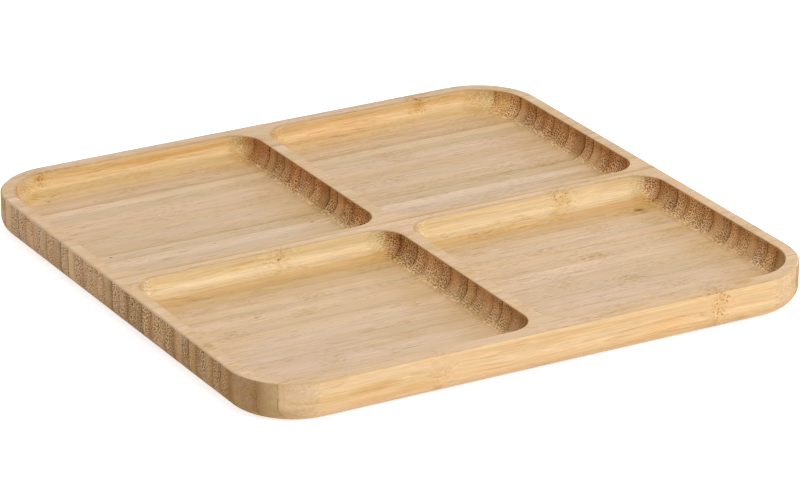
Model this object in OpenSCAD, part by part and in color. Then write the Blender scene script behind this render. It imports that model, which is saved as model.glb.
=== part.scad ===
// Square serving plate in bamboo with four routed compartments.
// The blank is a panel of narrow staves glued side by side. Each stave runs from left to right
// along X and stands upright on its edge, and every stave is one separate solid.
// The front of the plate faces -Y. The origin is the centre of the underside, which lies on Z = 0.

/* [Plate] */
// Length of each side of the square plate
plate_w = 250; // [200:5:320]
// Thickness of the plate from the underside to the top of the rim
plate_h = 17; // [14:0.5:24]
// Radius of the four outer corners, seen from above
plate_corner_r = 28; // [24:1:40]
// Radius of the round-over along the underside edge
under_edge_r = 7; // [3:0.5:9]
// Width and height of the bevel that breaks every edge along the top of the rim and the dividers
top_bevel = 0.6; // [0.3:0.1:1]

/* [Compartments] */
// Width of the rim between the outer face and a compartment
rim_w = 5.8; // [4:0.2:9]
// Width of the two dividers that cross in the middle
divider_w = 6.4; // [4:0.2:10]
// Depth of the compartment floors below the top of the rim
pocket_depth = 10.3; // [9:0.1:12]
// Radius of the cove between a compartment's walls and its floor
cove_r = 7; // [3:0.5:8]
// Radius of the compartment corners that touch a divider, seen from above
pocket_corner_r = 12; // [10:0.5:16]

/* [Staves] */
// Number of staves, even so that one glue line runs along the middle of the divider
stave_count = 38; // [24:2:56]
// Colour of the palest stave
pale_stave = [0.87, 0.75, 0.60]; // [0:0.01:1]
// Colour of the darkest stave
dark_stave = [0.74, 0.60, 0.43]; // [0:0.01:1]
// Seed of the order in which pale and dark staves follow each other
tone_seed = 7; // [1:1:99]

/* [Hidden] */
$fn = 96;
// How far a cutter runs past the surface that it opens
overrun = 1;
half_w = plate_w / 2;
stave_t = plate_w / stave_count;
pocket_half = (half_w - rim_w - divider_w / 2) / 2;
pocket_centre = divider_w / 2 + pocket_half;
// The corner of a compartment under a corner of the plate keeps the rim's width all the way round
pocket_outer_r = plate_corner_r - rim_w;
floor_z = plate_h - pocket_depth;
tone_shares = rands(0, 1, stave_count, tone_seed);

// Between its rim stave and its divider stave, each half of the plate is all bay staves
bay_staves = stave_count / 2 - 2;
function numbered(name, last) = [for (i = [1 : last]) str(name, i < 10 ? "0" : "", i)];

// Whether two stretches along Y share some length
function meets(a, b) = a[0] < b[1] && b[0] < a[1];

// The corner left outside a round of radius r, in the corner of a square of side r
module corner_waste(r) {
    difference() {
        square(r);
        circle(r);
    }
}

// Upright section of the plate's edge, from 0 out to the outer face at reach:
// a large round-over at the underside and a bevel at the top
module plate_edge_section(reach) {
    difference() {
        polygon([
            [0, 0],
            [reach, 0],
            [reach, plate_h - top_bevel],
            [reach - top_bevel, plate_h],
            [0, plate_h]
        ]);
        translate([reach - under_edge_r, under_edge_r]) mirror([0, 1]) corner_waste(under_edge_r);
    }
}

// Upright section of the cutter that mills a compartment, from 0 out to the wall at reach:
// a flat floor, a cove, an upright wall and a bevel along the wall's top edge
module pocket_section(reach) {
    difference() {
        polygon([
            [0, floor_z],
            [reach, floor_z],
            [reach, plate_h - top_bevel],
            [reach + top_bevel, plate_h],
            [reach + top_bevel, plate_h + overrun],
            [0, plate_h + overrun]
        ]);
        translate([reach - cove_r, floor_z + cove_r]) mirror([0, 1]) corner_waste(cove_r);
    }
}

// A quarter of a block whose outline turns one corner of radius corner_r. The child is the
// upright section of its edge for a reach of $reach, and span is the stretch of Y that is wanted.
module quarter_block(half, corner_r, span) {
    side = half - corner_r;
    if (meets(span, [0, side]))
        translate([0, side, 0]) rotate([90, 0, 0]) linear_extrude(side)
            let ($reach = half) children();
    if (meets(span, [side, half + top_bevel])) {
        translate([0, side, 0]) rotate([90, 0, 90]) linear_extrude(side)
            let ($reach = corner_r) children();
        translate([side, side, 0]) rotate_extrude(angle = 90)
            let ($reach = corner_r) children();
    }
}

// The stretch of Y named span, as seen from a centre at y and mirrored for the front side
function seen_from(y, is_front, span) = is_front ? [y - span[1], y - span[0]] : [span[0] - y, span[1] - y];

// The rounded blank, as far as it lies in span
module blank(span) {
    for (is_left = [0, 1], is_front = [0, 1])
        mirror([is_left, 0, 0]) mirror([0, is_front, 0])
            quarter_block(half_w, plate_corner_r, seen_from(0, is_front == 1, span))
                plate_edge_section($reach);
}

// The cutter of the right rear compartment, as far as it lies in span, a stretch measured
// from the plate's middle. Its right rear corner lies under a corner of the plate.
module pocket_cutter(span) {
    translate([pocket_centre, pocket_centre, 0])
        for (is_left = [0, 1], is_front = [0, 1])
            mirror([is_left, 0, 0]) mirror([0, is_front, 0])
                quarter_block(
                    pocket_half,
                    is_left + is_front == 0 ? pocket_outer_r : pocket_corner_r,
                    seen_from(pocket_centre, is_front == 1, span)
                ) pocket_section($reach);
}

// One stave of the glued panel, counted from the front, with its share of the rounded outline,
// the round-over and the compartments that are milled across it
module stave(index) {
    front_y = index * stave_t - half_w;
    span = [front_y, front_y + stave_t];
    tone = pale_stave + (dark_stave - pale_stave) * tone_shares[index];
    color(tone) intersection() {
        translate([-half_w, front_y, 0]) cube([plate_w, stave_t, plate_h]);
        difference() {
            blank(span);
            for (is_left = [0, 1], is_front = [0, 1])
                mirror([is_left, 0, 0]) mirror([0, is_front, 0])
                    pocket_cutter(seen_from(0, is_front == 1, span));
        }
    }
}

for (index = [0 : stave_count - 1])
    stave(index);
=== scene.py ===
import math
import random
from types import SimpleNamespace

import bpy
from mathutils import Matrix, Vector


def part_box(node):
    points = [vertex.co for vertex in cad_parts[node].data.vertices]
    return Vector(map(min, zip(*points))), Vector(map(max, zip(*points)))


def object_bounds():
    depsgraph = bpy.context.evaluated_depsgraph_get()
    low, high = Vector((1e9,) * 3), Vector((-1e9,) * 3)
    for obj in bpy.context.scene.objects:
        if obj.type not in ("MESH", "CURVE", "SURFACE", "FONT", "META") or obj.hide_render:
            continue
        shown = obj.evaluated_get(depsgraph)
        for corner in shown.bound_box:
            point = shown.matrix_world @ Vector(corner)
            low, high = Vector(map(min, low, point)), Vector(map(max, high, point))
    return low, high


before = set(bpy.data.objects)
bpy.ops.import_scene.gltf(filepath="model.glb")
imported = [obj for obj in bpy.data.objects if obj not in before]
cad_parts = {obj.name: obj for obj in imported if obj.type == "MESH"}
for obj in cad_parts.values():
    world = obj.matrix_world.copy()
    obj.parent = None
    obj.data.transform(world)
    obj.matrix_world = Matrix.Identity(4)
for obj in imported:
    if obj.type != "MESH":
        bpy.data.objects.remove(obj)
cad_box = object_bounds()

# Sizes of the plate, in millimetres, as the shaders read them. Those that the frame doesn't give are
# the sizes of its corners, compartments and bevels.
MM = 1000.0
PLATE_W = round((cad_box[1][0] - cad_box[0][0]) * MM, 3)
PLATE_H = round(cad_box[1][2] * MM, 3)
HALF_W = PLATE_W / 2
CORNER_R = 28.0
CORNER_MIDDLE = HALF_W - CORNER_R
POCKET_FLOOR = 6.7
TOP_BEVEL = 0.6
BEVEL_FOOT = PLATE_H - TOP_BEVEL
RIM_W = 5.8
DIVIDER_W = 6.4
STAVE_COUNT = len(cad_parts)
STAVE_T = PLATE_W / STAVE_COUNT


def linear(red, green, blue):
    """A colour written as it looks on a screen, from 0 to 255, as the shaders take it."""
    channels = [c / 255 for c in (red, green, blue)]
    return tuple(c / 12.92 if c <= 0.04045 else ((c + 0.055) / 1.055) ** 2.4 for c in channels) + (1.0,)


def above(level, heights):
    """The places at these heights over a level, or these distances past it."""
    return tuple(level + height for height in heights)


def below(level, depths):
    """The places at these depths under a level, or these distances before it."""
    return tuple(level - depth for depth in depths)


class Tree:
    """Adds nodes to one node tree and links them."""

    def __init__(self, tree):
        self.tree = tree
        self.tree.nodes.clear()

    def node(self, kind, **settings):
        made = self.tree.nodes.new(kind)
        for name, value in settings.items():
            setattr(made, name, value)
        return made

    def put(self, socket, value):
        """Links a socket, or writes a constant on it."""
        if isinstance(value, bpy.types.NodeSocket):
            self.tree.links.new(value, socket)
        else:
            socket.default_value = value

    def fill(self, sockets, values):
        for socket, value in zip(sockets, values):
            self.put(socket, value)

    def math(self, operation, *values, clamp=False):
        made = self.node("ShaderNodeMath", operation=operation, use_clamp=clamp)
        self.fill(made.inputs, values)
        return made.outputs[0]

    def times(self, first, *others):
        for other in others:
            first = self.math("MULTIPLY", first, other)
        return first

    def plus(self, first, *others):
        for other in others:
            first = self.math("ADD", first, other)
        return first

    def minus(self, first, *others):
        for other in others:
            first = self.math("SUBTRACT", first, other)
        return first

    def gap(self, a, b):
        """How far apart two values are."""
        return self.math("ABSOLUTE", self.minus(a, b))

    def vector(self, operation, a, b):
        made = self.node("ShaderNodeVectorMath", operation=operation)
        self.put(made.inputs[0], a)
        self.put(made.inputs["Scale"] if operation == "SCALE" else made.inputs[1], b)
        return made.outputs[0]

    def length(self, vector):
        made = self.node("ShaderNodeVectorMath", operation="LENGTH")
        self.put(made.inputs[0], vector)
        return made.outputs["Value"]

    def separate(self, vector):
        made = self.node("ShaderNodeSeparateXYZ")
        self.put(made.inputs[0], vector)
        return made.outputs

    def combine(self, *values):
        made = self.node("ShaderNodeCombineXYZ")
        self.fill(made.inputs, values)
        return made.outputs[0]

    def ramp(self, value, low, high, start=0.0, end=1.0):
        """Runs smoothly from start at low to end at high."""
        made = self.node("ShaderNodeMapRange", interpolation_type="SMOOTHSTEP")
        names = ("Value", "From Min", "From Max", "To Min", "To Max")
        self.fill([made.inputs[name] for name in names], (value, low, high, start, end))
        return made.outputs[0]

    def fade(self, value, low, high):
        """Runs smoothly from 1 at low to 0 at high."""
        return self.ramp(value, low, high, 1.0, 0.0)

    def sway(self, value, amount):
        """Runs from minus the amount to the amount over the middle of a noise."""
        return self.ramp(value, *NOISE_MIDDLE, -amount, amount)

    def mix(self, factor, a, b, how="MIX"):
        made = self.node("ShaderNodeMix", data_type="RGBA", blend_type=how)
        self.fill((made.inputs[0], made.inputs[6], made.inputs[7]), (factor, a, b))
        return made.outputs[2]

    def multiply_colour(self, strength, colour, by):
        """Multiplies a colour by another one, as far as the strength goes."""
        return self.mix(strength, colour, by, "MULTIPLY")

    def blend(self, factor, a, b):
        made = self.node("ShaderNodeMix", data_type="FLOAT")
        self.fill((made.inputs[0], made.inputs[2], made.inputs[3]), (factor, a, b))
        return made.outputs[0]

    def grey(self, level):
        """A grey of that level, which may pass 1."""
        made = self.node("ShaderNodeCombineColor")
        self.fill(made.inputs, (level, level, level))
        return made.outputs[0]

    def noise(self, where, per_mm, detail=2.0, roughness=0.5, output="Fac"):
        """Noise with its own number of features per millimetre along each axis."""
        made = self.node("ShaderNodeTexNoise")
        self.put(made.inputs["Vector"], self.vector("MULTIPLY", where, per_mm))
        made.inputs["Scale"].default_value = 1.0
        made.inputs["Detail"].default_value = detail
        made.inputs["Roughness"].default_value = roughness
        return made.outputs[output]

    def cells(self, where, per_mm, randomness, dimensions="3D"):
        """Distance to the nearest cell's middle, in cells."""
        made = self.node("ShaderNodeTexVoronoi", feature="F1", voronoi_dimensions=dimensions)
        self.put(made.inputs["Vector"], self.vector("MULTIPLY", where, per_mm))
        made.inputs["Scale"].default_value = 1.0
        made.inputs["Randomness"].default_value = randomness
        return made.outputs["Distance"]


# The mean of a noise, and the stretch that holds most of its values
NOISE_MEAN = 0.5
NOISE_MIDDLE = (0.3, 0.7)

# Colours of the wood by the way each surface faces: partly its own colour by the way it is cut, partly
# painted light and shade of how the light falls on each face
TOP_COLOUR = linear(221, 190, 155)
FRONT_COLOUR = linear(234, 199, 150)
END_COLOUR = linear(219, 178, 132)
OBLIQUE_COLOUR = linear(224, 191, 147)
COVE_COLOUR = linear(216, 178, 130)
INNER_OBLIQUE_COLOUR = linear(228, 200, 152)

# A thin painted highlight along the top of the bevels, on the outer edge and on the lips of the
# compartments
OUTER_EDGE_HIGHLIGHT = linear(236, 204, 166)
RIGHT_EDGE_HIGHLIGHT = linear(240, 192, 140)
LEFT_EDGE_HIGHLIGHT = linear(206, 174, 134)

# What the wood's colour is multiplied by where it is stained or bleached, and where shade and light are
# painted on it
# The next two are painted shade on the bevels: on the right walls' bevels, and on those along the fibres
BEVEL_SHADE = (0.70, 0.66, 0.62, 1.0)
LONG_BEVEL_SHADE = (0.80, 0.80, 0.80, 1.0)
CROWN = (1.03, 1.00, 0.93, 1.0)
# The next three are painted shade, with warm bounced light, on the compartments' walls
LONG_RECESS_SHADE = (0.97, 0.95, 0.85, 1.0)
END_RECESS_FRONT_SHADE = (0.98, 0.94, 0.85, 1.0)
END_RECESS_REAR_SHADE = (0.93, 0.82, 0.68, 1.0)
LEFT_CORNER = (0.95, 0.94, 1.08, 1.0)
# The next two are painted shade: on the top of the right walls, and on the coves
RIGHT_WALL_TOP_SHADE = (0.84, 0.76, 0.68, 1.0)
COVE_SHADE = (0.85, 0.83, 0.76, 1.0)
YELLOW_END = (0.93, 0.90, 0.79, 1.0)
FOOT_OCHRE = (0.82, 0.76, 0.54, 1.0)
# The next two are painted shade on the end faces at the front, and painted light at their rear
SIDE_NEAR_SHADE = (0.85, 0.81, 0.74, 1.0)
SIDE_FAR_LIGHT = (1.31, 1.36, 1.42, 1.0)
UNDER_ORANGE = (0.98, 0.92, 0.80, 1.0)
DEEP_BAND = (0.90, 0.78, 0.58, 1.0)
DENSE_SIDE = (0.90, 0.88, 0.78, 1.0)
DENSE_END = (0.88, 0.80, 0.72, 1.0)
SKIN_LINE = (0.60, 0.46, 0.34, 1.0)
YELLOW_DRIFT = (0.97, 0.95, 0.88, 1.0)
PINK_DRIFT = (1.02, 1.02, 1.06, 1.0)
DASH = (0.70, 0.61, 0.47, 1.0)
PALE_DASH = (1.12, 1.15, 1.18, 1.0)
FLICK = (0.74, 0.66, 0.50, 1.0)
VEIN = (0.80, 0.66, 0.46, 1.0)
DARK_HAIR = (0.80, 0.70, 0.54, 1.0)
PALE_HAIR = (1.08, 1.10, 1.14, 1.0)
PALE_GROUND = (1.42, 1.56, 1.80, 1.0)
DARK_BUNDLE = (0.27, 0.15, 0.08, 1.0)
KNUCKLE_HALO = (0.93, 0.88, 0.76, 1.0)
KNUCKLE_BROWN = (0.62, 0.38, 0.20, 1.0)
KNUCKLE_GREEN = (0.78, 0.71, 0.56, 1.0)
GLUE = (0.66, 0.56, 0.45, 1.0)

# What it is multiplied by in the marks of single places
PIT = (0.20, 0.14, 0.09, 1.0)
FAINT_PIT = (0.60, 0.50, 0.38, 1.0)
KNOT = (0.52, 0.34, 0.18, 1.0)
BROWN_STAIN = (0.84, 0.72, 0.54, 1.0)
OCHRE_STAIN = (0.93, 0.87, 0.74, 1.0)
ORANGE_STAIN = (1.00, 0.92, 0.79, 1.0)
OLIVE_STAIN = (0.92, 0.91, 0.76, 1.0)
WARM_STAIN = (1.00, 0.93, 0.86, 1.0)
PALE_STAIN = (1.05, 1.06, 1.09, 1.0)
BLEACHED = (1.02, 1.03, 1.11, 1.0)
# The next three are painted shade in the compartments' rear right corners, and painted light that eases
# it in one of them
CORNER_DEEP_SHADE = (0.83, 0.74, 0.68, 1.0)
CORNER_SHADE = (0.95, 0.91, 0.90, 1.0)
CORNER_PAINTED_LIGHT = (1.16, 1.26, 1.32, 1.0)

# The most red in any wood colour, so that the wood never sends back more light than it gets
MOST_RED = 0.98

# Faces of the plate that marks lie on, along Y
FRONT = -HALF_W
FAR_MIDDLE = -DIVIDER_W / 2
FAR_REAR = HALF_W - RIM_W

# Marks of single places: where they lie, how far they reach along X, Y and Z, and their colour
FLOOR_MARKS = (
    ((-99.7, 111.2, POCKET_FLOOR), (1.1, 0.6, 0.6), PIT),
    ((-104.3, 44.1, POCKET_FLOOR), (1.1, 0.6, 0.6), PIT),
    ((-61.0, 37.2, POCKET_FLOOR), (0.9, 0.5, 0.5), FAINT_PIT),
    ((-15.8, 38.6, POCKET_FLOOR), (1.5, 0.8, 0.8), FAINT_PIT),
    ((48.0, 39.5, POCKET_FLOOR), (1.1, 0.6, 0.6), FAINT_PIT),
    ((-86.0, 99.0, POCKET_FLOOR), (24.0, 9.0, 2.0), PALE_STAIN),
    ((-80.0, -75.0, POCKET_FLOOR), (40.0, 22.0, 2.0), BLEACHED),
    ((46.0, -74.0, POCKET_FLOOR), (50.0, 22.0, 2.0), BLEACHED),
    ((-82.0, -38.8, POCKET_FLOOR), (1.3, 0.7, 0.7), FAINT_PIT),
    ((107.0, -15.8, POCKET_FLOOR), (3.5, 1.9, 1.9), KNOT),
    ((112.0, -59.5, POCKET_FLOOR), (7.0, 1.3, 1.5), OLIVE_STAIN),
    ((108.0, -40.5, POCKET_FLOOR), (8.0, 1.2, 1.5), OLIVE_STAIN),
)
WALL_MARKS = (
    ((-53.5, FAR_MIDDLE, 12.5), (1.1, 0.7, 0.7), KNOT),
    ((78.0, FAR_MIDDLE, 10.0), (6.0, 2.0, 5.0), OCHRE_STAIN),
    ((-45.0, FAR_REAR, 13.5), (34.0, 2.0, 1.4), ORANGE_STAIN),
    ((80.0, FAR_REAR, 14.5), (4.5, 2.0, 3.5), OCHRE_STAIN),
    ((-100.0, FAR_REAR, 14.5), (4.0, 2.0, 1.8), OCHRE_STAIN),
    ((42.0, FAR_REAR - 2.0, 9.5), (34.0, 9.0, 7.0), WARM_STAIN),
    # Painted shade in the compartments' rear right corners, and painted light in the rear right
    # compartment's corner
    ((-3.5, 110.0, 11.0), (9.0, 9.0, 9.0), CORNER_DEEP_SHADE),
    ((-4.0, -11.0, 11.0), (9.0, 9.0, 9.0), CORNER_DEEP_SHADE),
    ((114.0, -10.0, 11.0), (9.0, 9.0, 9.0), CORNER_SHADE),
    ((119.0, 100.5, 11.0), (6.0, 9.0, 9.0), CORNER_PAINTED_LIGHT),
)
FRONT_MARKS = (
    ((-77.0, FRONT, 10.0), (14.0, 3.0, 2.6), OCHRE_STAIN),
    ((-77.0, FRONT, 4.7), (18.0, 3.0, 2.2), OCHRE_STAIN),
    ((-60.0, FRONT, 6.0), (13.0, 3.0, 2.4), OCHRE_STAIN),
    ((-50.0, FRONT, 2.5), (4.0, 3.0, 2.4), BROWN_STAIN),
    ((52.0, FRONT, 8.0), (17.0, 3.0, 4.5), ORANGE_STAIN),
    ((86.0, FRONT, 2.5), (6.0, 3.0, 2.6), BROWN_STAIN),
)
TOP_MARKS = (
    ((-122.0, -75.6, PLATE_H), (4.0, 3.0, 2.0), OLIVE_STAIN),
    ((-122.0, -62.0, PLATE_H), (3.5, 3.0, 2.0), OLIVE_STAIN),
    ((22.0, 0.5, PLATE_H), (28.0, 2.0, 1.0), OCHRE_STAIN),
    ((110.0, -0.6, PLATE_H), (28.0, 0.8, 1.0), OCHRE_STAIN),
    ((35.0, -121.5, PLATE_H), (14.0, 2.4, 1.0), OCHRE_STAIN),
    ((88.0, -121.5, PLATE_H), (7.0, 2.8, 1.0), BROWN_STAIN),
    ((-50.5, -121.5, PLATE_H), (1.6, 3.0, 1.0), OLIVE_STAIN),
    ((0.0, -33.0, PLATE_H), (4.0, 7.0, 1.0), OLIVE_STAIN),
    ((0.0, -62.0, PLATE_H), (4.0, 3.5, 1.0), ORANGE_STAIN),
)

# What the wood is told about each stave: first the numbers, then the colours
STAVE_NUMBERS = (
    "Middle", "Tone", "End Tone", "Skin", "Skin Line", "Dense Top", "Dots", "Bands", "Foot", "Seed",
    "Knuckle A", "Knuckle B", "Strength A", "Strength B", "Front Glue", "Rear Glue",
)
STAVE_COLOURS = ("Tint", "Wall Tint")
WOOD_RESULTS = {"Color": "Color", "Roughness": "Float", "Specular": "Float", "Normal": "Vector"}


def bamboo_group():
    """The wood of one stave. Its fibre bundles run along X, so that a cut across them shows dots and
    a cut along them shows streaks."""
    group = bpy.data.node_groups.new("bamboo", "ShaderNodeTree")
    for name in STAVE_NUMBERS:
        group.interface.new_socket(name, in_out="INPUT", socket_type="NodeSocketFloat")
    for name in STAVE_COLOURS:
        group.interface.new_socket(name, in_out="INPUT", socket_type="NodeSocketColor")
    for name, kind in WOOD_RESULTS.items():
        group.interface.new_socket(name, in_out="OUTPUT", socket_type="NodeSocket" + kind)

    t = Tree(group)
    p = locate(t, t.node("NodeGroupInput").outputs)
    find_pockets(t, p)
    find_knuckles(t, p)
    lay_fibres(t, p)
    colour = cut_colour_and_light(t, p)
    for paint in (
        pocket_tones, floor_ends, outer_tones, dense_wood, streaks_of_fibre, marks_of_fibre,
        dots_of_bundles, knuckle_stains, glue_lines, bevel_light_and_shade, single_marks,
    ):
        colour = paint(t, p, colour)
    result = t.node("NodeGroupOutput").inputs
    t.put(result["Color"], held_down(t, colour))
    t.put(result["Roughness"], roughness(t, p))
    t.put(result["Specular"], specular(t, p))
    t.put(result["Normal"], relief(t, p))
    return group


# How far a stave's noise lies from the next one's along each axis, for each unit of its seed
SEED_STEPS = (173.0, 31.0, 47.0)
# How much of a surface's direction has to lie along the fibres before it is cut across them
ACROSS_CUT = (0.03, 0.70)


def locate(t, given):
    """Where a point lies in the plate and in its stave, and which way its surface looks."""
    coordinates = t.node("ShaderNodeTexCoord").outputs
    p = SimpleNamespace(given=given)
    p.at = t.vector("SCALE", coordinates["Object"], MM)
    p.own = t.vector("ADD", p.at, t.combine(*(t.times(given["Seed"], step) for step in SEED_STEPS)))
    p.x, p.y, p.z = t.separate(p.at)
    facing = t.separate(coordinates["Normal"])
    p.end, p.front, p.up = (t.times(part, part) for part in facing)
    p.looks_right = t.math("GREATER_THAN", facing[0], 0.0)
    p.looks_left = t.math("LESS_THAN", facing[0], 0.0)
    p.along_cut = t.minus(1.0, p.end)
    p.across_cut = t.ramp(p.end, *ACROSS_CUT)

    # Across the stave, from its pith side at 0 to its skin side at 1
    p.across = t.math("DIVIDE", t.minus(p.y, given["Middle"]), STAVE_T)
    p.skin_side = t.math("ADD", t.times(p.across, given["Skin"]), 0.5, clamp=True)
    return p


# Depths under the plate's outline between which the rim's inner wood turns to its outer wood
RIM_TURN = (4.0, 2.5)
# Depths under the compartment floors between which the underside's wood ends
UNDERSIDE_END = (2.5, 0.5)
# Heights over the compartment floors between which a wall begins and its stained foot ends
WALL_START = (0.1, 2.0)
FOOT_END = (0.6, 3.2)
# Heights over the foot of the bevel between which a wall ends, and the bevel begins
WALL_END = (0.0, 0.3)
BEVEL_START = (-0.1, 0.0)
# How much a surface looks up where a bevel ends
BEVEL_SLOPE = (0.75, 0.95)


def find_pockets(t, p):
    """How much a point belongs to the compartments, their walls and the bevels."""
    beyond = [t.math("MAXIMUM", t.minus(t.math("ABSOLUTE", c), CORNER_MIDDLE), 0.0) for c in (p.x, p.y)]
    reach = t.math("SQRT", t.plus(*(t.times(c, c) for c in beyond)))
    p.inside = t.times(
        t.fade(reach, *below(CORNER_R, RIM_TURN)),
        t.ramp(p.z, *below(POCKET_FLOOR, UNDERSIDE_END)),
    )
    p.outside = t.minus(1.0, p.inside)
    p.recess = t.times(
        p.inside,
        t.fade(p.z, *above(BEVEL_FOOT, WALL_END)),
        t.ramp(p.z, *above(POCKET_FLOOR, WALL_START)),
    )
    p.foot = t.times(p.inside, p.given["Foot"], t.fade(p.z, *above(POCKET_FLOOR, FOOT_END)))
    p.bevel = t.times(t.ramp(p.z, *above(BEVEL_FOOT, BEVEL_START)), t.fade(p.up, *BEVEL_SLOPE))
    p.on_right = t.times(p.inside, p.looks_left)


# Here and below, a GRAIN is how many features a noise has for each millimetre along X, Y and Z, and
# CELLS is the same for cells

# How far a knuckle's line strays along the stave
STRAY_GRAIN = (0.10, 0.22, 0.25)
KNUCKLE_STRAY = 9.0


def find_knuckles(t, p):
    """How far a point lies from the nearest knuckle, along the stave."""
    stray = t.minus(t.noise(p.own, STRAY_GRAIN, detail=1.0), NOISE_MEAN)
    along = t.plus(p.x, t.times(stray, KNUCKLE_STRAY))
    p.near_a = t.gap(along, p.given["Knuckle A"])
    p.near_b = t.gap(along, p.given["Knuckle B"])
    p.near = t.math("MINIMUM", p.near_a, p.near_b)


# How far fibres wander along the stave and swerve at a knuckle, in millimetres along X, Y and Z
WANDER = (0.0, 2.6, 5.0)
WANDER_GRAIN = (0.014, 0.06, 0.06)
SWERVE = (0.0, 3.0, 3.0)
SWERVE_GRAIN = (0.22, 0.30, 0.30)
SWERVE_REACH = (2.0, 14.0)
# The streaks and fine threads that follow the fibres
STREAK_GRAIN = (0.010, 1.5, 1.1)
FINE_GRAIN = (0.05, 5.0, 4.0)


def lay_fibres(t, p):
    """Wandering fibres, and the noises and bundles that follow them."""
    mean = (NOISE_MEAN, NOISE_MEAN, NOISE_MEAN)
    wander = t.vector("SUBTRACT", t.noise(p.own, WANDER_GRAIN, output="Color"), mean)
    wander = t.vector("MULTIPLY", wander, WANDER)
    swerve = t.vector("SUBTRACT", t.noise(p.own, SWERVE_GRAIN, output="Color"), mean)
    swerve = t.vector("SCALE", t.vector("MULTIPLY", swerve, SWERVE), t.fade(p.near, *SWERVE_REACH))
    p.fibre = t.vector("ADD", t.vector("ADD", p.own, wander), swerve)
    p.streak = t.noise(p.fibre, STREAK_GRAIN, detail=3.0, roughness=0.6)
    p.fine = t.noise(p.fibre, FINE_GRAIN)
    p.bundle = fibre_bundles(t, p)


# Bundles: cells along Y and Z, how loosely they lie, and how wide a dot is in its cell
LOOSE_CELLS = (0.9, 1.25, 0.0)
LOOSE_DOT = (0.24, 0.42)
CROWDED_CELLS = (1.15, 1.5, 0.0)
CROWDED_DOT = (0.26, 0.45)
CELL_DISORDER = 0.65
# Where the bundles crowd: by the skin, and wherever the cut isn't square to the fibres
SKIN_CROWD = (0.62, 0.86)
SLANT_CROWD = (0.35, 0.75)
# How strong crowded bundles stay on a stave without dots
LEAST_CROWDED = 0.5
# Where bundles are fainter: two values of a noise, and their strength at each
PATCH_GRAIN = (0.006, 0.12, 0.12)
PATCHES = (0.36, 0.56, 0.65, 1.0)


def fibre_bundles(t, p):
    """Dots of the bundles, small and crowded by the skin, large and loose by the pith."""
    cut = t.separate(p.fibre)
    flat = t.combine(cut[1], cut[2])
    dots = p.given["Dots"]
    loose = t.times(t.fade(t.cells(flat, LOOSE_CELLS, CELL_DISORDER, "2D"), *LOOSE_DOT), dots)
    crowded = t.times(
        t.fade(t.cells(flat, CROWDED_CELLS, CELL_DISORDER, "2D"), *CROWDED_DOT),
        t.blend(dots, LEAST_CROWDED, 1.0),
    )
    crowd = t.math("MAXIMUM", t.ramp(p.skin_side, *SKIN_CROWD), t.fade(p.end, *SLANT_CROWD))
    patch = t.ramp(t.noise(p.own, PATCH_GRAIN, detail=1.0), *PATCHES)
    return t.times(t.blend(crowd, loose, crowded), patch)


# How much of a surface's direction lies along the fibres where its colour turns to that of a slant
OUTER_SLANT = (0.010, 0.035)
INNER_SLANT = (0.0, 0.5)
COVE_SLANT = (0.0, 0.06)
END_SLANT = (0.20, 0.95)
# How fast the slanting colour comes in at the compartments' round corners, and its share there
TURN_GAIN = 4.0
TURN_SHARE = 0.8


def cut_colour_and_light(t, p):
    """Colour of clean wood by the way it is cut and faces, partly painted light and shade of each face,
    with the stave's own tint.
    """
    colour = t.mix(p.front, TOP_COLOUR, FRONT_COLOUR)
    slant = t.blend(p.inside, t.ramp(p.end, *OUTER_SLANT), t.ramp(p.end, *INNER_SLANT))
    slant_colour = t.mix(p.inside, OBLIQUE_COLOUR, INNER_OBLIQUE_COLOUR)
    colour = t.mix(t.times(slant, p.front), colour, slant_colour)
    cove = t.times(t.ramp(p.end, *COVE_SLANT), p.up, p.inside)
    colour = t.mix(cove, colour, COVE_COLOUR)
    colour = t.mix(t.ramp(p.end, *END_SLANT), colour, END_COLOUR)
    turning = t.math("MULTIPLY", t.times(p.end, p.front), TURN_GAIN, clamp=True)
    colour = t.mix(t.times(turning, p.inside, TURN_SHARE), colour, INNER_OBLIQUE_COLOUR)
    return t.multiply_colour(1.0, colour, p.given["Tint"])


# Where a compartment's wall counts as cut across the fibres, and how much less so as it turns to Y
END_WALL = (0.0, 0.35)
TURN_DISCOUNT = 0.8
# Where a round corner of a compartment counts as turned to its left wall
LEFT_TURN = (0.08, 0.22)
# Where the painted shade of the right walls turns from the front compartments' to the rear ones', along
# Y
FRONT_TO_REAR = (-20.0, 20.0)
# Depths under the rim between which painted shade darkens the right walls upwards
RIGHT_WALL_SHADE_DEPTHS = (6.0, 0.8)
# How much of a surface's direction lies along Y in a cove, and along X where a cove turns a corner
COVE_TURN = (0.0, 0.20)
COVE_END = (0.45, 0.85)
COVE_SIDE = (0.0, 0.3)


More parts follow.
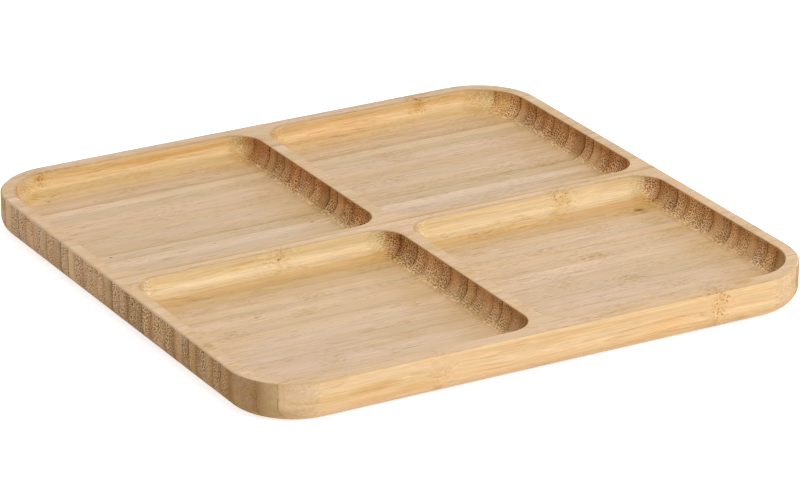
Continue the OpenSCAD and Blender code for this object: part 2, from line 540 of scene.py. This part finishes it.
def pocket_tones(t, p, colour):
    """Tones of the compartments' walls and coves: painted shade with warm bounced light on the walls,
    painted shade on the right walls' tops and on the coves, and the staves' own wall tints.
    """
    # Painted shade, with warm bounced light, on the compartments' walls
    end_recess_shade = t.mix(t.ramp(p.y, *FRONT_TO_REAR), END_RECESS_FRONT_SHADE, END_RECESS_REAR_SHADE)
    walled = t.ramp(t.minus(p.end, t.times(p.front, TURN_DISCOUNT)), *END_WALL)
    colour = t.multiply_colour(p.recess, colour, t.mix(walled, LONG_RECESS_SHADE, end_recess_shade))
    colour = t.multiply_colour(t.times(p.front, p.inside), colour, p.given["Wall Tint"])
    left_turn = t.times(p.looks_right, t.ramp(p.end, *LEFT_TURN), p.recess)
    colour = t.multiply_colour(left_turn, colour, LEFT_CORNER)
    # Painted shade, darker towards the top of the right walls
    high = t.times(p.on_right, p.across_cut, t.ramp(p.z, *below(PLATE_H, RIGHT_WALL_SHADE_DEPTHS)))
    colour = t.multiply_colour(high, colour, RIGHT_WALL_TOP_SHADE)
    # Painted shade on the coves of the long walls
    coved = t.times(t.ramp(p.front, *COVE_TURN), t.fade(p.front, *COVE_END))
    coved = t.times(coved, t.times(p.recess, t.fade(p.end, *COVE_SIDE)))
    return t.multiply_colour(coved, colour, COVE_SHADE)


# How raggedly the yellow ends of the floors begin, and how far they reach from their walls
RAGGED_GRAIN = (0.03, 0.25, 0.25)
YELLOW_RAGGED = 26.0
RIGHT_YELLOW = (30.0, 9.0)
LEFT_YELLOW = (7.0, 20.0)
LEFT_YELLOW_STRENGTH = 0.25
# How far past a wall's foot a floor's end is still looked for
WALL_MARGIN = 1.0
# Depths under the rim between which the compartments' yellow ends begin
SUNK_DEPTHS = (3.0, 1.0)


def floor_ends(t, p, colour):
    """Yellower wood at both ends of each floor, most of all at the right one."""
    sunk = t.times(p.inside, t.fade(p.z, *below(PLATE_H, SUNK_DEPTHS)))
    floor = t.times(sunk, p.up)
    ragged = t.minus(t.noise(p.own, RAGGED_GRAIN), NOISE_MEAN)
    ragged = t.plus(p.x, t.times(ragged, YELLOW_RAGGED))
    for wall in (-DIVIDER_W / 2, HALF_W - RIM_W):
        before_wall = t.math("LESS_THAN", p.x, wall + WALL_MARGIN)
        end = t.times(t.ramp(ragged, *below(wall, RIGHT_YELLOW)), before_wall)
        colour = t.multiply_colour(t.times(end, floor), colour, YELLOW_END)
    for wall in (DIVIDER_W / 2, RIM_W - HALF_W):
        past_wall = t.math("GREATER_THAN", p.x, wall - WALL_MARGIN)
        end = t.times(t.ramp(ragged, *above(wall, LEFT_YELLOW), LEFT_YELLOW_STRENGTH, 0.0), past_wall)
        colour = t.multiply_colour(t.times(end, floor), colour, YELLOW_END)
    return t.multiply_colour(p.foot, colour, FOOT_OCHRE)


# How much of a surface's direction lies along the fibres where the end faces begin
SIDE_START = (0.2, 0.8)
# Heights between which the orange of the lower edge ends
UNDER_HEIGHTS = (3.0, 8.0)
# Values of a noise between which the deep bands begin
BAND_GRAIN = (0.007, 0.25, 0.33)
BAND_START = (0.47, 0.66)
# Depths under the rim between which the flat crown of the rim and dividers begins
CROWN_DEPTHS = (0.2, 0.05)


def outer_tones(t, p, colour):
    """Painted shade and light on the end faces, darker at the front and lighter at the rear; the orange
    lower edge and the deep bands of the long faces, and the crown of the rim.
    """
    # Painted light and shade on the end faces, from darker at the front to lighter at the rear
    side = t.times(t.ramp(p.end, *SIDE_START), p.outside)
    colour = t.multiply_colour(side, colour, t.mix(t.ramp(p.y, -HALF_W, HALF_W), SIDE_NEAR_SHADE, SIDE_FAR_LIGHT))
    under = t.times(t.fade(p.z, *UNDER_HEIGHTS), p.front, p.outside)
    colour = t.multiply_colour(under, colour, UNDER_ORANGE)
    band = t.ramp(t.noise(p.fibre, BAND_GRAIN, detail=1.0), *BAND_START)
    colour = t.multiply_colour(t.times(band, p.front, p.given["Bands"]), colour, DEEP_BAND)
    crown = t.times(t.ramp(p.z, *below(PLATE_H, CROWN_DEPTHS)), p.up)
    return t.multiply_colour(crown, colour, CROWN)


# Shares of the way to the skin where the dense wood begins, and where the skin's own line lies
DENSE_START = (0.40, 1.0)
SKIN_LINE_START = (0.88, 0.97)
OUTER_SKIN_LINE = 0.5
# Values of a noise between which the hue drifts from yellow to pink
HUE_GRAIN = (0.006, 0.11, 0.2)
HUE_DRIFT = (0.36, 0.64)


def dense_wood(t, p, colour):
    """The dense wood by the skin, the skin's line and a slow drift of hue."""
    dense = t.times(t.ramp(p.skin_side, *DENSE_START), t.blend(p.across_cut, p.given["Dense Top"], 1.0))
    colour = t.multiply_colour(dense, colour, t.mix(p.across_cut, DENSE_SIDE, DENSE_END))
    line = t.times(t.ramp(p.skin_side, *SKIN_LINE_START), t.times(p.given["Skin Line"], p.across_cut))
    line = t.times(line, t.blend(p.inside, OUTER_SKIN_LINE, 1.0))
    colour = t.multiply_colour(line, colour, SKIN_LINE)
    hue = t.ramp(t.noise(p.at, HUE_GRAIN), *HUE_DRIFT)
    return t.multiply_colour(1.0, colour, t.mix(hue, YELLOW_DRIFT, PINK_DRIFT))


# How strongly each noise of the grain darkens and brightens the wood
STREAK_SWAY = 0.025
THREAD_GRAIN = (0.03, 2.2, 1.6)
THREAD_SWAY = 0.04
FINE_SWAY = 0.02
BROAD_GRAIN = (0.004, 0.25, 0.22)
BROAD_SWAY = 0.04
# How much of the broad sway the long walls of the compartments keep
INNER_BROAD = 0.5
# How lively the grain is on the long faces inside and outside, and how it grows along X
INNER_LIVELY = 0.9
OUTER_LIVELY = 1.4
LIVELY_STRETCH = (-25.0, 25.0)
LIVELY_LEFT = 0.95
LIVELY_RIGHT = 1.55


def streaks_of_fibre(t, p, colour):
    """The stave's tone with its streaks."""
    tone = t.plus(1.0, t.blend(p.across_cut, p.given["Tone"], p.given["End Tone"]))
    lively = t.blend(p.front, 1.0, t.blend(p.inside, INNER_LIVELY, OUTER_LIVELY))
    lively = t.times(lively, t.ramp(p.x, *LIVELY_STRETCH, LIVELY_LEFT, LIVELY_RIGHT))
    thread = t.noise(p.fibre, THREAD_GRAIN)
    grain = t.plus(t.sway(p.streak, STREAK_SWAY), t.sway(thread, THREAD_SWAY), t.sway(p.fine, FINE_SWAY))
    broad = t.sway(t.noise(p.at, BROAD_GRAIN), BROAD_SWAY)
    broad = t.times(broad, t.blend(t.times(p.front, p.inside), 1.0, INNER_BROAD))
    streaks = t.plus(t.plus(1.0, broad), t.times(grain, lively))
    return t.multiply_colour(1.0, colour, t.grey(t.times(tone, streaks)))


# Where dashes and hairlines gather: two values of a noise, and how clearly they show at each
GATHER_GRAIN = (0.03, 0.15, 0.2)
GATHERED = (0.42, 0.62, 0.25, 1.0)
# Values of the noises where dark and pale dashes, and dark and pale hairlines, lie
DASH_GRAIN = (0.10, 1.6, 1.1)
DARK_DASH_AT = (0.60, 0.70)
PALE_DASH_AT = (0.30, 0.40)
HAIR_GRAIN = (0.028, 0.9, 0.9)
DARK_HAIR_AT = 0.47
PALE_HAIR_AT = 0.56
HAIR_WIDTH = 0.018
# Torn fibres: how wide one is in its cell, the values of a noise where they lie, and how that noise
# is raised along X
STROKE_DISORDER = 0.95
FLICK_CELLS = (0.17, 1.5, 0.0)
FLICK_SIZE = (0.10, 0.26)
TORN_GRAIN = (0.035, 0.14, 0.14)
TORN_AT = (0.53, 0.63)
TORN_ALONG_X = (-30.0, 30.0, -0.03, 0.05)
# Veins run along a contour of one noise, and show at these values of another
CONTOUR_GRAIN = (0.007, 0.55, 0.55)
VEIN_WIDTH = 0.022
VEIN_GRAIN = (0.02, 0.2, 0.2)
VEINS_AT = (0.45, 0.60)
# Strengths on the top, and on the long faces
TOP_DASHES, FRONT_DASHES = 0.9, 0.4
TOP_VEINS, FRONT_VEINS = 0.26, 0.75
TOP_HAIRS, OUTER_FRONT_HAIRS, INNER_FRONT_HAIRS = 0.55, 0.6, 1.0


def marks_of_fibre(t, p, colour):
    """Pores, torn fibres, veins and hairlines that run along the stave."""
    gather = t.ramp(t.noise(p.own, GATHER_GRAIN, detail=1.0), *GATHERED)
    shown = t.times(p.along_cut, gather)
    dash = t.noise(p.fibre, DASH_GRAIN, detail=1.0)
    p.dashes = t.times(t.ramp(dash, *DARK_DASH_AT), shown)
    colour = t.multiply_colour(t.times(p.dashes, t.blend(p.front, TOP_DASHES, FRONT_DASHES)), colour, DASH)
    colour = t.multiply_colour(t.times(t.fade(dash, *PALE_DASH_AT), shown), colour, PALE_DASH)

    flick = t.fade(t.cells(p.fibre, FLICK_CELLS, STROKE_DISORDER, "2D"), *FLICK_SIZE)
    torn_patch = t.plus(t.noise(p.own, TORN_GRAIN, detail=1.0), t.ramp(p.x, *TORN_ALONG_X))
    torn_patch = t.ramp(torn_patch, *TORN_AT)
    colour = t.multiply_colour(t.times(flick, torn_patch, p.up), colour, FLICK)

    contour = t.gap(t.noise(p.fibre, CONTOUR_GRAIN), NOISE_MEAN)
    vein = t.fade(contour, 0.0, VEIN_WIDTH)
    vein = t.times(vein, t.ramp(t.noise(p.own, VEIN_GRAIN, detail=1.0), *VEINS_AT), p.along_cut)
    colour = t.multiply_colour(t.times(vein, t.blend(p.front, TOP_VEINS, FRONT_VEINS)), colour, VEIN)

    hair = t.noise(p.fibre, HAIR_GRAIN)
    front_hairs = t.blend(p.inside, OUTER_FRONT_HAIRS, INNER_FRONT_HAIRS)
    hairs = t.times(shown, t.blend(p.front, TOP_HAIRS, front_hairs))
    for middle, tint in ((DARK_HAIR_AT, DARK_HAIR), (PALE_HAIR_AT, PALE_HAIR)):
        colour = t.multiply_colour(t.times(t.fade(t.gap(hair, middle), 0.0, HAIR_WIDTH), hairs), colour, tint)
    return colour


# How clearly the bundles show as a surface turns to look along the fibres: two shares of its
# direction that lie along them, and the clearness at each. First in the compartments: their right
# walls with the coves, their round corners, and all that looks right.
RIGHT_WALL_DOTS = (0.0, 0.16, 0.05, 1.0)
ROUND_CORNER_DOTS = (0.003, 0.55, 0.10, 1.0)
LEFT_WALL_DOTS = (0.002, 0.12, 0.05, 0.45)
# Shares of its direction along Y between which a wall turns to its round corner
ROUND_CORNER_TURN = (0.0, 0.3)
# Then on the outer faces: the start of the plate's round corners, their middle, and the end faces
SLANT_DOTS = (0.004, 0.03, 0.0, 0.6)
SLANT_DOTS_END = (0.11, 0.24, 1.0, 0.3)
END_FACE_DOTS = (0.20, 0.95, 0.12, 1.0)
# Where the outer dots get clearer behind the plate's front corners, along Y
FRONT_CORNER_DOTS = (-104.0, -82.0, 0.45, 1.0)
# How much of the dots a bevel loses
BEVEL_LOSS = 0.8
# How dark the bundles are as a surface turns to look along the fibres
DOT_DARKNESS = (0.0, 0.6, 0.65, 1.0)


def dotted_parts(t, p):
    """How clearly the bundles show, by the way the wood is cut and where it lies."""
    right_wall = t.ramp(p.end, *RIGHT_WALL_DOTS)
    round_corner = t.ramp(p.end, *ROUND_CORNER_DOTS)
    pocket = t.blend(t.ramp(p.front, *ROUND_CORNER_TURN), right_wall, round_corner)
    pocket = t.blend(p.looks_right, pocket, t.ramp(p.end, *LEFT_WALL_DOTS))
    slant = t.times(t.ramp(p.end, *SLANT_DOTS), t.ramp(p.end, *SLANT_DOTS_END))
    outer = t.math("MAXIMUM", slant, t.ramp(p.end, *END_FACE_DOTS))
    outer = t.times(outer, t.ramp(p.y, *FRONT_CORNER_DOTS))
    return t.times(t.blend(p.inside, outer, pocket), t.minus(1.0, t.times(p.bevel, BEVEL_LOSS)))


def dots_of_bundles(t, p, colour):
    """Dark bundles in paler ground on every cut that crosses the fibres."""
    p.dotted = dotted_parts(t, p)
    colour = t.multiply_colour(t.times(p.dotted, p.given["Dots"]), colour, PALE_GROUND)
    dots = t.times(p.bundle, p.dotted, t.ramp(p.end, *DOT_DARKNESS))
    return t.multiply_colour(dots, colour, DARK_BUNDLE)


# Distances from a knuckle between which its halo, its fibre ends and its torn fibres end
HALO_REACH = (1.5, 7.0)
PRICK_REACH = (2.0, 4.2)
TORN_REACH = (3.0, 11.0)
# Values of a noise between which the halo begins
HALO_GRAIN = (0.25, 0.5, 0.5)
HALO_START = (0.38, 0.58)
# How wide a fibre's end and a torn fibre are in their cells
PRICK_CELLS = (1.0, 0.0, 0.85)
PRICK_SIZE = (0.20, 0.48)
KNUCKLE_TORN_CELLS = (0.26, 1.25, 0.0)
KNUCKLE_TORN_SIZE = (0.16, 0.34)
# Where fibre ends show: two values of a noise, and how clearly at each
PRICK_GRAIN = (0.05, 0.10, 0.16)
PRICKS_SHOWN = (0.40, 0.56, 0.3, 1.0)


def knuckle_stains(t, p, colour):
    """Knuckles: a dark stain with rows of short dark fibre ends."""
    given = p.given
    spread = t.times(t.fade(p.near, *HALO_REACH), t.ramp(t.noise(p.own, HALO_GRAIN), *HALO_START))
    fibre_ends = t.fade(t.cells(p.fibre, PRICK_CELLS, STROKE_DISORDER), *PRICK_SIZE)
    shown = t.ramp(t.noise(p.own, PRICK_GRAIN, detail=1.0), *PRICKS_SHOWN)
    pricks = t.times(t.fade(p.near, *PRICK_REACH), fibre_ends, shown)
    torn = t.fade(t.cells(p.fibre, KNUCKLE_TORN_CELLS, STROKE_DISORDER, "2D"), *KNUCKLE_TORN_SIZE)
    torn = t.times(torn, t.fade(p.near, *TORN_REACH))
    nearer_a = t.math("LESS_THAN", p.near_a, p.near_b)
    strength = t.blend(nearer_a, given["Strength B"], given["Strength A"])
    on_side = t.times(strength, t.minus(1.0, p.across_cut))
    p.knuckle = t.times(t.blend(p.up, pricks, torn), on_side)
    colour = t.multiply_colour(t.times(spread, on_side), colour, KNUCKLE_HALO)
    return t.multiply_colour(p.knuckle, colour, t.mix(p.front, KNUCKLE_GREEN, KNUCKLE_BROWN))


# Distances from a stave's face between which its glue line ends
GLUE_REACH = (0.05, 0.35)
# Values of a noise between which a broken glue line gets whole, and how much shows where it is broken
GLUE_GRAIN = (0.03, 0.05, 0.2)
WHOLE_GLUE = (0.38, 0.60)
BROKEN_GLUE = 0.25


def glue_lines(t, p, colour):
    """The glue lines at both faces of the stave, broken here and there."""
    off_front = t.times(t.plus(p.across, 0.5), STAVE_T)
    off_rear = t.times(t.minus(0.5, p.across), STAVE_T)
    front_seam = t.times(t.fade(off_front, *GLUE_REACH), p.given["Front Glue"])
    rear_seam = t.times(t.fade(off_rear, *GLUE_REACH), p.given["Rear Glue"])
    whole = t.ramp(t.noise(p.own, GLUE_GRAIN), *WHOLE_GLUE)
    whole = t.plus(BROKEN_GLUE, t.times(whole, 1.0 - BROKEN_GLUE))
    p.seam = t.times(t.plus(front_seam, rear_seam), whole)
    return t.multiply_colour(p.seam, colour, GLUE)


# Depths under the rim between which the painted highlight of a bevel begins, and those on the right
# walls
HIGHLIGHT_DEPTHS = (0.55, 0.25)
RIGHT_HIGHLIGHT_DEPTHS = (0.35, 0.12)
# How much of a bevel's direction has to lie along the fibres before it is cut across them
END_BEVEL = (0.0, 0.4)


def bevel_light_and_shade(t, p, colour):
    """Bevels of the rim and dividers, with painted shade along the fibres and on the right walls, and a
    thin painted highlight along their edges across the fibres.
    """
    end_bevel = t.times(p.bevel, t.ramp(p.end, *END_BEVEL))
    # Painted shade on the bevels: along the fibres, and darker on the right walls' bevels
    colour = t.multiply_colour(t.minus(p.bevel, end_bevel), colour, LONG_BEVEL_SHADE)
    colour = t.multiply_colour(t.times(end_bevel, p.on_right), colour, BEVEL_SHADE)
    # A thin painted highlight along the bevels' edges
    inner_highlight = t.mix(p.looks_right, RIGHT_EDGE_HIGHLIGHT, LEFT_EDGE_HIGHLIGHT)
    edge_highlight = [
        t.blend(p.on_right, all_round, right)
        for all_round, right in zip(below(PLATE_H, HIGHLIGHT_DEPTHS), below(PLATE_H, RIGHT_HIGHLIGHT_DEPTHS))
    ]
    edge_highlight = t.times(end_bevel, t.ramp(p.z, *edge_highlight))
    return t.mix(edge_highlight, colour, t.mix(p.inside, OUTER_EDGE_HIGHLIGHT, inner_highlight))


# The share of its reach within which a mark has its full colour
MARK_CORE = 0.3


def single_marks(t, p, colour):
    """Pits, knots and stains of single places, and painted shade and light in some of the compartments'
    corners.
    """
    for place, reach, tint in FLOOR_MARKS + WALL_MARKS + FRONT_MARKS + TOP_MARKS:
        from_place = t.vector("SUBTRACT", p.at, place)
        away = t.length(t.vector("MULTIPLY", from_place, tuple(1 / r for r in reach)))
        colour = t.multiply_colour(t.fade(away, MARK_CORE, 1.0), colour, tint)
    return colour


def held_down(t, colour):
    """The colour with its red, which is the strongest channel of every wood, at most MOST_RED."""
    channels = t.node("ShaderNodeSeparateColor")
    t.put(channels.inputs[0], colour)
    red = t.math("MAXIMUM", channels.outputs["Red"], MOST_RED)
    return t.vector("SCALE", colour, t.math("DIVIDE", MOST_RED, red))


# Roughness of the smoothest wood, and what streaks, end grain and worn bevels add to it
SMOOTHEST = 0.46
STREAK_ROUGHNESS = 0.14
END_ROUGHNESS = 0.12
BEVEL_POLISH = 0.08


def roughness(t, p):
    rough = t.plus(SMOOTHEST, t.times(p.streak, STREAK_ROUGHNESS), t.times(p.end, END_ROUGHNESS))
    return t.minus(rough, t.times(p.bevel, BEVEL_POLISH))


# Specular level of wood cut along its fibres, which end grain and bevels don't have
LONG_SPECULAR = 0.42
MATT_START = (0.0, 0.30)


def specular(t, p):
    matt = t.math("MAXIMUM", t.ramp(p.end, *MATT_START), p.bevel)
    return t.blend(matt, LONG_SPECULAR, 0.0)


# How much each feature stands out or is sunk, as a share of the depth in metres
STREAK_RELIEF, FINE_RELIEF = 0.5, 0.25
DASH_RELIEF, BUNDLE_RELIEF, SEAM_RELIEF, KNUCKLE_RELIEF = 0.25, 1.6, 0.5, 0.3
RELIEF_DEPTH = 0.00012
RELIEF_STRENGTH = 0.55


def relief(t, p):
    """Fine bumps of the fibres, and what is sunk between them."""
    height = t.plus(t.times(p.streak, STREAK_RELIEF), t.times(p.fine, FINE_RELIEF))
    height = t.minus(
        height,
        t.times(p.dashes, DASH_RELIEF),
        t.times(p.bundle, t.times(p.dotted, BUNDLE_RELIEF)),
        t.times(p.seam, SEAM_RELIEF),
        t.times(p.knuckle, KNUCKLE_RELIEF),
    )
    bump = t.node("ShaderNodeBump")
    bump.inputs["Strength"].default_value = RELIEF_STRENGTH
    bump.inputs["Distance"].default_value = RELIEF_DEPTH
    t.put(bump.inputs["Height"], height)
    return bump.outputs[0]


GRAIN_SEED = 11

# What stands out on single staves, counted from the front rim: where their knuckles lie along X in
# millimetres, and how they differ from their neighbours
KNUCKLES = {
    0: (-50, 75), 4: (-78, 65), 6: (-39, 160), 7: (-121, 66), 8: (-160, 38), 9: (-112, 106),
    10: (-23, 170), 11: (-98, 65), 12: (-65, 110), 13: (-82, 52), 14: (-53, 107), 16: (-170, 107),
    18: (-53, 76), 24: (-97, 150), 26: (-140, 101), 27: (-150, 98), 29: (-25, 170), 31: (-180, 50),
    32: (-190, 45), 33: (-140, 85), 34: (-140, 92), 37: (-102, 80),
}
KNUCKLE_STRENGTHS = {
    0: (0.25, 1.0), 7: (1.0, 1.0), 11: (1.0, 1.0), 16: (1.0, 1.0), 18: (0.45, 0.9), 37: (1.0, 1.8),
}
FACE_TONES = {22: -0.03, 23: -0.03, 24: 0.05, 26: -0.04, 32: -0.04, 33: 0.08, 34: -0.05, 35: -0.01}
END_TONES = {
    0: 0.06, 1: -0.13, 2: -0.13, 3: -0.06, 4: -0.06, 5: -0.08, 6: 0.08, 7: -0.05, 8: 0.05, 9: -0.14,
    10: 0.10, 11: -0.05, 14: 0.04, 15: -0.22, 16: -0.14, 17: -0.12, 19: -0.12, 21: -0.08, 23: -0.04,
    24: 0.14, 25: -0.06, 26: -0.18, 28: -0.04, 29: -0.07, 30: 0.07, 31: -0.08, 32: -0.10, 33: 0.06,
    34: -0.03, 35: 0.10, 36: 0.0,
}
DOTS = {
    0: 0.35, 1: 0.1, 2: 0.5, 3: 0.4, 6: 0.4, 8: 0.6, 10: 0.4, 19: 0.4, 24: 0.4, 26: 0.4, 33: 0.4,
    35: 0.55, 36: 0.5,
}
SKIN_LINES = (5, 9, 11, 15, 17, 19, 25, 26, 28, 32, 34)
SKIN_SIDES = {0: -1.0, 36: 1.0}
DENSE_TOPS = {19: 1.0, 25: 0.7, 26: 0.9, 34: 0.8}
GLUE_LINES = {1: 0.9, 7: 0.7, 14: 0.6, 19: 0.9, 20: 0.1, 25: 0.5, 26: 0.7, 34: 1.0, 37: 0.0}
BOLDEST_DRAWN_GLUE = 0.35
FOOT_STRENGTH = {15: 0.2, 16: 0.7, 17: 1.0, 18: 0.2, 35: 0.2, 36: 0.6, 37: 0.2}
BANDS = {18: 0.2}
USUAL_BANDS = 0.5
PALE_STAVE = (1.00, 1.05, 1.12, 1.0)
PALE_STAVES = (24, 33)
NO_TINT = (1.0, 1.0, 1.0, 1.0)
WARM_WALL = (0.94, 0.95, 0.94, 1.0)
WALL_TINTS = {18: (0.94, 1.05, 1.20, 1.0), 36: WARM_WALL, 37: WARM_WALL}

# How far apart the two knuckles of a stave lie
KNUCKLE_SPACING = (150, 230)

# How far the tones of a stave are drawn from 0, and between what its other values are drawn
DRAWN_TONE = 0.025
DRAWN_END_TONE = 0.06
DRAWN_STRENGTHS = (0.3, 0.8)
DRAWN_SKIN_LINES = (0.05, 0.35)
DRAWN_DENSE_TOPS = (0.0, 0.45)
DRAWN_SEEDS = (0, 10)
# What the pinkest and the palest stave add to red, green and blue
PINK_TINT = (0.012, -0.008, 0.012)
PALE_TINT = (0.0, 0.012, 0.035)


def stave_material(name, group, settings):
    material = bpy.data.materials.new(name)
    material.use_nodes = True
    t = Tree(material.node_tree)
    wood = t.node("ShaderNodeGroup", node_tree=group)
    for key, value in settings.items():
        wood.inputs[key].default_value = value
    shader = t.node("ShaderNodeBsdfPrincipled")
    t.put(shader.inputs["Base Color"], wood.outputs["Color"])
    t.put(shader.inputs["Roughness"], wood.outputs["Roughness"])
    t.put(shader.inputs["Specular IOR Level"], wood.outputs["Specular"])
    t.put(shader.inputs["Normal"], wood.outputs["Normal"])
    t.put(t.node("ShaderNodeOutputMaterial").inputs["Surface"], shader.outputs[0])
    return material


def stave_settings(index, glue, draw):
    """Every stave is a strip of its own: its tone, tint, skin side, knuckles and glue are drawn for it,
    and then replaced by what stands out on it."""
    pink = draw.uniform(-1, 1)
    first = draw.uniform(-HALF_W, 0)
    second = first + draw.uniform(*KNUCKLE_SPACING)
    tone = draw.uniform(-DRAWN_TONE, DRAWN_TONE)
    end_tone = draw.uniform(-DRAWN_END_TONE, DRAWN_END_TONE)
    skin = draw.choice((-1.0, 1.0))
    strength = draw.uniform(*DRAWN_STRENGTHS)
    line = draw.uniform(*DRAWN_SKIN_LINES)
    dense_top = draw.uniform(*DRAWN_DENSE_TOPS)
    pale = draw.uniform(-1, 1)
    tint = tuple(1 + of_pink * pink + of_pale * pale for of_pink, of_pale in zip(PINK_TINT, PALE_TINT))
    seed = draw.uniform(*DRAWN_SEEDS)
    first, second = KNUCKLES.get(index, (first, second))
    strengths = KNUCKLE_STRENGTHS.get(index, (strength, strength))
    has_skin_line = index in SKIN_LINES
    return {
        "Middle": (index + 0.5) * STAVE_T - HALF_W,
        "Tone": FACE_TONES.get(index, tone),
        "End Tone": END_TONES.get(index, end_tone),
        "Skin": SKIN_SIDES.get(index, -1.0 if has_skin_line else skin),
        "Skin Line": 1.0 if has_skin_line else line,
        "Dense Top": DENSE_TOPS.get(index, dense_top),
        "Dots": DOTS.get(index, 1.0),
        "Bands": BANDS.get(index, USUAL_BANDS),
        "Foot": FOOT_STRENGTH.get(index, 0.0),
        "Seed": seed,
        "Knuckle A": first,
        "Knuckle B": second,
        "Strength A": strengths[0],
        "Strength B": strengths[1],
        "Front Glue": glue[index],
        "Rear Glue": glue[index + 1],
        "Tint": PALE_STAVE if index in PALE_STAVES else tint + (1.0,),
        "Wall Tint": WALL_TINTS.get(index, NO_TINT),
    }


def dress_staves():
    """Gives each stave its own bamboo, from the front rim to the rear one."""
    names = sorted(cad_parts, key=lambda name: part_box(name)[0][1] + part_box(name)[1][1])
    draw = random.Random(GRAIN_SEED)
    group = bamboo_group()
    glue = [
        GLUE_LINES.get(line, BOLDEST_DRAWN_GLUE * draw.random() ** 2)
        for line in range(STAVE_COUNT + 1)
    ]
    for index, name in enumerate(names):
        material = stave_material("bamboo_" + name, group, stave_settings(index, glue, draw))
        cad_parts[name].material_slots[0].material = material


# Studio

# How far the studio floor lies under the plate, in metres, so that the two surfaces don't coincide
FLOOR_GAP = 0.0002
FLOOR_SIZE = 12.0
FLOOR_GREY = (0.86, 0.86, 0.86, 1.0)
FLOOR_ROUGHNESS = 0.9
FLOOR_SPECULAR = 0.1
# What the floor shines by itself, for the camera and in reflections alone, so that it looks white
FLOOR_GLOW = 0.75
WORLD_LEVEL = 0.35
WHITE = (1.0, 1.0, 1.0, 1.0)

# The photograph's view, solved from the plate's outline: metres, degrees and a lens in millimetres
SENSOR_W = 36.0
LENS = 205.416
VIEW_AZIMUTH = -29.4374
VIEW_ELEVATION = 22.1914
VIEW_DISTANCE = 1.846425
VIEW_AIM = (0.007675, 0.0074, 0.0)
FARTHEST = 50.0


def seen_rays(t):
    """1 for rays that show the studio itself, from the camera or in a reflection, and else 0."""
    rays = t.node("ShaderNodeLightPath").outputs
    mirrored = t.math("MAXIMUM", rays["Is Glossy Ray"], rays["Is Transmission Ray"])
    return t.math("MAXIMUM", rays["Is Camera Ray"], mirrored)


def floor_and_backdrop():
    bpy.ops.mesh.primitive_plane_add(size=FLOOR_SIZE, location=(0, 0, -FLOOR_GAP))
    floor = bpy.context.object
    floor.name = "studio_floor"
    material = bpy.data.materials.new("studio_paper")
    material.use_nodes = True
    t = Tree(material.node_tree)
    paper = t.node("ShaderNodeBsdfPrincipled")
    paper.inputs["Base Color"].default_value = FLOOR_GREY
    paper.inputs["Roughness"].default_value = FLOOR_ROUGHNESS
    paper.inputs["Specular IOR Level"].default_value = FLOOR_SPECULAR
    glow = t.node("ShaderNodeEmission")
    glow.inputs["Strength"].default_value = FLOOR_GLOW
    dark = t.node("ShaderNodeEmission")
    dark.inputs["Strength"].default_value = 0.0
    only_seen = t.node("ShaderNodeMixShader")
    t.fill(only_seen.inputs, (seen_rays(t), dark.outputs[0], glow.outputs[0]))
    both = t.node("ShaderNodeAddShader")
    t.fill(both.inputs, (paper.outputs[0], only_seen.outputs[0]))
    t.put(t.node("ShaderNodeOutputMaterial").inputs["Surface"], both.outputs[0])
    floor.data.materials.append(material)


def world_light():
    world = bpy.data.worlds.new("studio_world")
    bpy.context.scene.world = world
    world.use_nodes = True
    t = Tree(world.node_tree)
    background = t.node("ShaderNodeBackground")
    background.inputs["Color"].default_value = WHITE
    t.put(background.inputs["Strength"], t.blend(seen_rays(t), WORLD_LEVEL, 1.0))
    t.put(t.node("ShaderNodeOutputWorld").inputs["Surface"], background.outputs[0])


def softbox(name, location, size, power):
    """A square lamp that shines at the middle of the plate."""
    data = bpy.data.lights.new(name, "AREA")
    data.shape = "SQUARE"
    data.size = size
    data.energy = power
    lamp = bpy.data.objects.new(name, data)
    lamp.location = location
    lamp.rotation_euler = (-Vector(location)).to_track_quat("-Z", "Y").to_euler()
    bpy.context.scene.collection.objects.link(lamp)


def camera():
    data = bpy.data.cameras.new("photo_camera")
    data.sensor_fit = "HORIZONTAL"
    data.sensor_width = SENSOR_W
    data.lens = LENS
    data.clip_end = FARTHEST
    eye = bpy.data.objects.new("photo_camera", data)
    azimuth, elevation = math.radians(VIEW_AZIMUTH), math.radians(VIEW_ELEVATION)
    level = math.cos(elevation)
    back = Vector((math.sin(azimuth) * level, -math.cos(azimuth) * level, math.sin(elevation)))
    eye.location = Vector(VIEW_AIM) + VIEW_DISTANCE * back
    eye.rotation_euler = (-back).to_track_quat("-Z", "Y").to_euler()
    bpy.context.scene.collection.objects.link(eye)
    bpy.context.scene.camera = eye


bpy.context.scene.view_settings.view_transform = "Standard"
camera()
world_light()
softbox("key_softbox", (0.5, -1.6, 1.7), size=1.4, power=43.0)
softbox("top_softbox", (0.0, 0.0, 1.5), size=1.0, power=1.5)
floor_and_backdrop()
dress_staves()
